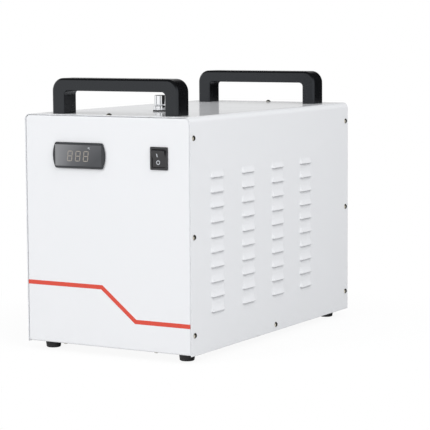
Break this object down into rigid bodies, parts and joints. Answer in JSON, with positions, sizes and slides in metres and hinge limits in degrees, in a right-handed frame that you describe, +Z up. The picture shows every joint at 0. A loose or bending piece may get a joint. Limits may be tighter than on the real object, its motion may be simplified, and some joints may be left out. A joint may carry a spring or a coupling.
{
  "type": "industrial water chiller",
  "caption": "Free-standing water cooler: louvred sheet-metal case with carrying handles, controller, rocker switch and filler cap, holding tank, pump, radiator and rear fan.",
  "frame": {"origin": "centre of the bounding box's footprint, on the plane that the feet stand on", "axes": "+Z up, -Y out of the front panel, +X to the right seen from the front"},
  "size_m": [0.2764, 0.5026, 0.3823],
  "materials": {
    "casing_paint": "glossy white powder coat",
    "zinc_sheet": "zinc plated",
    "screw_steel": "nickel plated",
    "handle_nylon": "fine moulded grain",
    "foot_rubber": "matt",
    "bezel_plastic": "satin moulded",
    "window_plastic": "smoked and glossy",
    "case_plastic": "moulded",
    "switch_plastic": "satin moulded",
    "brass": "turned",
    "chrome": "polished",
    "gasket_rubber": "matt",
    "tank_plastic": "natural moulded",
    "hose_rubber": "smooth",
    "pump_plastic": "moulded",
    "motor_steel": "drawn can",
    "fan_metal": "black paint",
    "rotor_plastic": "moulded",
    "guard_wire": "black dip coat",
    "fin_aluminium": "bare",
    "tube_copper": "bare copper",
    "board_laminate": "solder mask"
  },
  "bodies": {
    "casing": {"cover": "casing_paint", "front_panel": "casing_paint", "rear_panel": "casing_paint", "base_pan": "zinc_sheet", "cover_screws": "screw_steel", "panel_screws": "screw_steel", "foot_front_left": "foot_rubber", "foot_front_right": "foot_rubber", "foot_rear_left": "foot_rubber", "foot_rear_right": "foot_rubber", "foot_screws": "screw_steel", "foot_nuts": "screw_steel", "handle_front": "handle_nylon", "handle_rear": "handle_nylon", "handle_bolts": "screw_steel", "controller_bezel": "bezel_plastic", "display_window": "window_plastic", "controller_case": "case_plastic", "controller_clips": "case_plastic", "switch_housing": "switch_plastic", "switch_terminals": "brass", "filler_gasket": "gasket_rubber", "filler_neck": "chrome", "filler_nut": "chrome", "fill_hose": "hose_rubber", "water_tank": "tank_plastic", "tank_lid": "tank_plastic", "pump_housing": "pump_plastic", "pump_motor": "motor_steel", "pump_bracket": "pump_plastic", "suction_hose": "hose_rubber", "radiator_hose": "hose_rubber", "drain_hose": "hose_rubber", "delivery_hose": "hose_rubber", "return_hose": "hose_rubber", "flow_switch": "brass", "outlet_fitting": "brass", "return_fitting": "brass", "drain_fitting": "brass", "fitting_nuts": "brass", "fan_frame": "fan_metal", "fan_motor": "fan_metal", "fan_guard": "guard_wire", "fan_screws": "screw_steel", "radiator_fins": "fin_aluminium", "radiator_tube": "tube_copper", "radiator_bracket_left": "zinc_sheet", "radiator_bracket_right": "zinc_sheet", "power_inlet": "case_plastic", "alarm_socket": "chrome", "alarm_nut": "chrome", "connector_pins": "brass", "control_board": "board_laminate", "board_spacers": "brass"},
    "switch_rocker": {"rocker": "switch_plastic"},
    "cap": {"filler_cap": "chrome"},
    "rotor": {"fan_rotor": "rotor_plastic"},
    "fuse_holder": {"fuse_drawer": "case_plastic"},
    "drain_plug": {"drain_cap": "brass"}
  },
  "joints": [
    {"name": "rocker_tilt", "type": "hinge", "parent": "casing", "child": "switch_rocker", "pos_m": [0.0865, -0.24513, 0.2768], "axis": [1, 0, 0], "range_deg": [-24, 0]},
    {"name": "cap_lift", "type": "slide", "parent": "casing", "child": "cap", "axis": [0, 0, 1], "range_m": [0, 0.02]},
    {"name": "fan_spin", "type": "hinge", "parent": "casing", "child": "rotor", "pos_m": [0, 0.20457, 0.2348], "axis": [0, 1, 0], "continuous": true},
    {"name": "fuse_slide", "type": "slide", "parent": "casing", "child": "fuse_holder", "axis": [0, 1, 0], "range_m": [0, 0.014]},
    {"name": "drain_cap_off", "type": "slide", "parent": "casing", "child": "drain_plug", "axis": [0, 1, 0], "range_m": [0, 0.015]}
  ]
}
